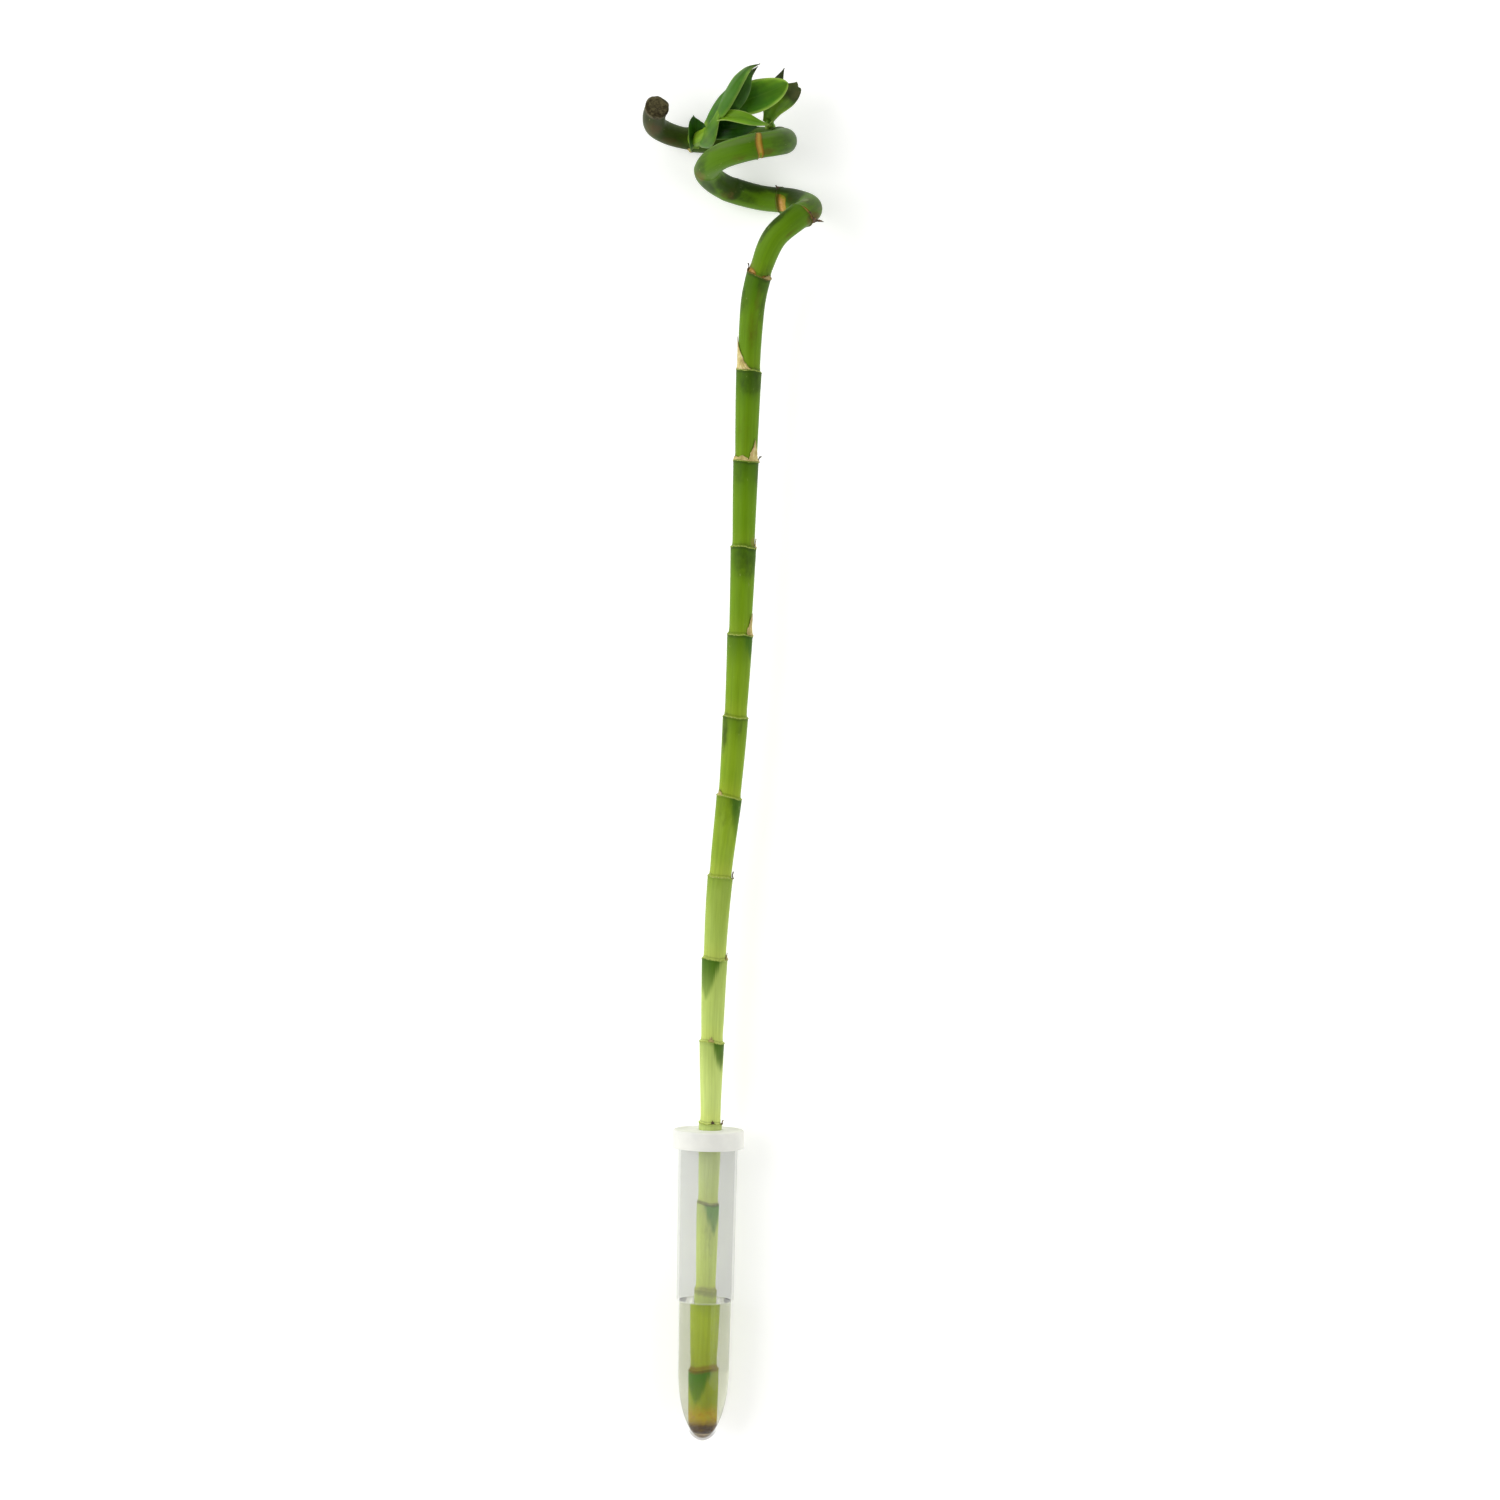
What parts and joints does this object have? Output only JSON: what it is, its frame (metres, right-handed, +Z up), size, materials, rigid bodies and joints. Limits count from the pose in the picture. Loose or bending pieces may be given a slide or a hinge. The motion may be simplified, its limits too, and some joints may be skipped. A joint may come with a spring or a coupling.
{
  "type": "lucky bamboo in flower tube",
  "caption": "Spiral-trained lucky bamboo cane with two leafy side shoots, lying down, its foot in clear gel in a frosted flower tube closed by a white snap cap.",
  "frame": {"origin": "on the table under the middle of the object's box, the plant lying down", "axes": "+Y along the plant from the tube's tip to the leaves, +X to the right seen from above, +Z up from the table"},
  "size_m": [0.0658, 0.501, 0.044],
  "materials": {
    "cane": "satin green bark, yellow-green towards the foot, with tan torn rims at the rings",
    "leaf": "satin living leaf with fine parallel veins and pale thin margins",
    "tube": "frosted translucent",
    "cap": "satin white",
    "gel": "clear, wet"
  },
  "bodies": {
    "root": {"bamboo_cane": "cane", "leafy_shoot_front": "leaf", "leafy_shoot_back": "leaf", "flower_tube": "tube", "tube_cap": "cap", "water_gel": "gel"}
  },
  "joints": []
}
